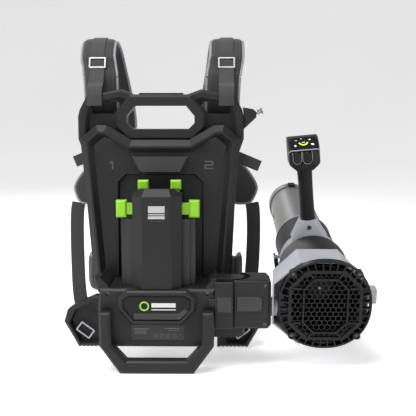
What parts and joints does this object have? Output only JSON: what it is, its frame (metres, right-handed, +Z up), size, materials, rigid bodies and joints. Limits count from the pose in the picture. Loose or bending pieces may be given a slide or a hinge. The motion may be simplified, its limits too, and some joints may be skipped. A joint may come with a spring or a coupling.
{
  "type": "backpack leaf blower",
  "caption": "Backpack leaf blower: padded harness and battery frame, with a tilting in-line fan unit, control handle and blowing tube on a side arm.",
  "frame": {"origin": "on the floor, at the centre of the underside of the rear foot", "axes": "+Z up, +Y the way the wearer faces (away from the battery side), +X to the side that carries the blower"},
  "size_m": [0.686, 0.8288, 0.7036],
  "materials": {
    "charcoal_plastic": "moulded, fine texture",
    "dark_plastic": "moulded, satin",
    "silver_plastic": "satin, painted look",
    "lime_plastic": "satin",
    "smoke_plastic": "semi-gloss",
    "black_rubber": "soft, matt",
    "strap_fabric": "padded mesh cloth",
    "webbing": "woven ribbon",
    "bright_steel": "plated",
    "dark_steel": "blackened",
    "aluminium": "machined",
    "display": "glossy window",
    "label": "printed label film",
    "control": "board and fins"
  },
  "bodies": {
    "pack": {"back_frame": "charcoal_plastic", "handle_pad": "black_rubber", "rear_cover": "charcoal_plastic", "tower_header": "charcoal_plastic", "lower_housing": "charcoal_plastic", "hinge_cover": "charcoal_plastic", "badge_panel": "dark_plastic", "rating_plate": "label", "rear_foot": "charcoal_plastic", "front_foot_right": "charcoal_plastic", "front_foot_left": "charcoal_plastic", "battery_tower": "dark_plastic", "tower_cover": "charcoal_plastic", "battery_rails": "dark_plastic", "battery_terminals": "dark_plastic", "control_unit": "control", "pack_screws": "dark_steel", "hanger_bracket": "charcoal_plastic", "hanger_stud": "bright_steel", "strap_pad_right": "strap_fabric", "strap_webbing_right": "webbing", "strap_pad_left": "strap_fabric", "strap_webbing_left": "webbing", "lower_webbing": "webbing", "strap_sliders": "bright_steel", "back_pad": "strap_fabric", "lumbar_pad": "strap_fabric", "hip_belt": "strap_fabric", "belt_webbing": "webbing", "belt_buckle": "dark_plastic", "swing_pin": "dark_steel"},
    "release_button_right": {"release_button_right": "lime_plastic"},
    "release_button_left": {"release_button_left": "lime_plastic"},
    "battery_latch_right": {"battery_latch_right": "lime_plastic"},
    "battery_latch_left": {"battery_latch_left": "lime_plastic"},
    "arm": {"arm_housing": "charcoal_plastic", "arm_cover": "charcoal_plastic", "arm_screws": "dark_steel"},
    "blower": {"intake_shroud": "silver_plastic", "intake_grille": "dark_plastic", "grille_screws": "dark_steel", "fan_case": "dark_plastic", "motor_can": "aluminium", "motor_bearings": "bright_steel", "stator_vanes": "dark_plastic", "coupling_ring": "black_rubber", "blower_tube": "smoke_plastic", "tube_end_ring": "smoke_plastic", "tilt_axle": "dark_steel"},
    "rotor": {"fan_rotor": "dark_plastic", "motor_shaft": "bright_steel"},
    "tube_latch": {"tube_latch": "dark_plastic"},
    "handle": {"handle_collar": "silver_plastic", "grip": "black_rubber", "control_head": "charcoal_plastic", "display_panel": "display"},
    "clamp_lever": {"clamp_lever": "dark_plastic"},
    "trigger": {"trigger": "dark_plastic"},
    "boost_button": {"boost_button": "dark_plastic"},
    "mode_button": {"mode_button": "dark_plastic"}
  },
  "joints": [
    {"name": "arm_swing", "type": "hinge", "parent": "pack", "child": "arm", "pos_m": [0.158, 0.062, 0.138], "axis": [0, 0, 1], "range_deg": [-20, 5]},
    {"name": "blower_tilt", "type": "hinge", "parent": "arm", "child": "blower", "pos_m": [0.237, 0.0523, 0.12715], "axis": [1, 0, 0], "range_deg": [-30, 20]},
    {"name": "fan_spin", "type": "hinge", "parent": "blower", "child": "rotor", "pos_m": [0.347, 0.12873, 0.15809], "axis": [0, 0.9903, 0.1392], "continuous": true},
    {"name": "tube_latch_press", "type": "hinge", "parent": "blower", "child": "tube_latch", "pos_m": [0.347, 0.76527, 0.3137], "axis": [1, 0, 0], "range_deg": [0, 8], "stiffness_Nm_per_rad": 0.4, "springref_deg": -5.73},
    {"name": "handle_roll", "type": "hinge", "parent": "blower", "child": "handle", "pos_m": [0.347, 0.26242, 0.17688], "axis": [0, 0.9903, 0.1392], "range_deg": [-12, 30]},
    {"name": "clamp_lever_open", "type": "hinge", "parent": "handle", "child": "clamp_lever", "pos_m": [0.26687, 0.28528, 0.1723], "axis": [-0.0958, -0.1385, 0.9857], "range_deg": [0, 90]},
    {"name": "trigger_pull", "type": "hinge", "parent": "handle", "child": "trigger", "pos_m": [0.32425, 0.2528, 0.41416], "axis": [-0.9954, 0.0133, -0.0949], "range_deg": [0, 8], "stiffness_Nm_per_rad": 1, "springref_deg": -8.59},
    {"name": "boost_press", "type": "slide", "parent": "handle", "child": "boost_button", "axis": [0, 0.9903, 0.1392], "range_m": [0, 0.002], "stiffness_N_per_m": 400, "springref_m": -0.001},
    {"name": "mode_press", "type": "slide", "parent": "handle", "child": "mode_button", "axis": [0, 0.9903, 0.1392], "range_m": [0, 0.002], "stiffness_N_per_m": 400, "springref_m": -0.001},
    {"name": "release_press_right", "type": "slide", "parent": "pack", "child": "release_button_right", "axis": [0, 0, -1], "range_m": [0, 0.004], "stiffness_N_per_m": 500, "springref_m": -0.002},
    {"name": "latch_draw_right", "type": "slide", "parent": "pack", "child": "battery_latch_right", "axis": [-1, 0, 0], "range_m": [0, 0.0033]},
    {"name": "release_press_left", "type": "slide", "parent": "pack", "child": "release_button_left", "axis": [0, 0, -1], "range_m": [0, 0.004], "stiffness_N_per_m": 500, "springref_m": -0.002},
    {"name": "latch_draw_left", "type": "slide", "parent": "pack", "child": "battery_latch_left", "axis": [1, 0, 0], "range_m": [0, 0.0033]}
  ],
  "couplings": [
    {"joint": "latch_draw_right", "follows": "release_press_right", "ratio": 0.8},
    {"joint": "latch_draw_left", "follows": "release_press_left", "ratio": 0.8}
  ]
}
